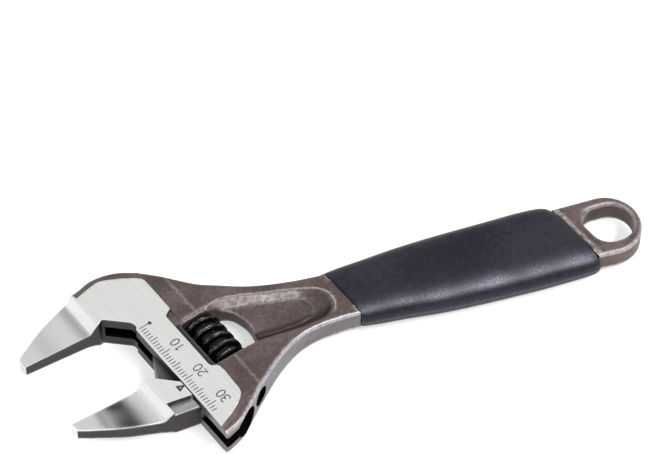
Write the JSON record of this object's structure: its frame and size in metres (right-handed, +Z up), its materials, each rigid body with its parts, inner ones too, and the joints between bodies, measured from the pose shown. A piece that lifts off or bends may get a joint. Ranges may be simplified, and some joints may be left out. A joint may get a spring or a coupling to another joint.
{
  "type": "adjustable wrench",
  "caption": "Wide-opening adjustable wrench: forged body with slender fixed jaw, movable jaw on a rail, screw knurl, rubber handle sleeve and hang ring.",
  "frame": {"origin": "centre of the bounding box in plan, on the surface the wrench lies on", "axes": "+X along the handle from the jaws to the hang ring, +Z up out of the face it lies on, +Y across the handle to the side of the fixed jaw"},
  "size_m": [0.1684, 0.058, 0.0106],
  "materials": {
    "forged_steel": "forged and descaled, brown-grey; head faces ground bright",
    "ground_steel": "ground and polished faces, dark machined edges",
    "black_steel": "black oxide, rubbed on the crests",
    "pin_steel": "turned",
    "spring_steel": "drawn wire",
    "grip_rubber": "smooth moulded, satin"
  },
  "bodies": {
    "wrench_body": {"body": "forged_steel", "handle_grip": "grip_rubber", "knurl_pin": "pin_steel", "knurl_spring": "spring_steel"},
    "knurl": {"adjusting_knurl": "black_steel"},
    "jaw": {"movable_jaw": "ground_steel"}
  },
  "joints": [
    {"name": "knurl_spin", "type": "hinge", "parent": "wrench_body", "child": "knurl", "pos_m": [-0.03491, 0.00133, 0.0053], "axis": [0.3305, -0.9438, 0], "range_deg": [-2497, 1196.4]},
    {"name": "jaw_slide", "type": "slide", "parent": "wrench_body", "child": "jaw", "axis": [0.3305, -0.9438, 0], "range_m": [-0.0215, 0.0103]}
  ],
  "couplings": [
    {"joint": "knurl_spin", "follows": "jaw_slide", "rad_per_m": 2026.8}
  ]
}
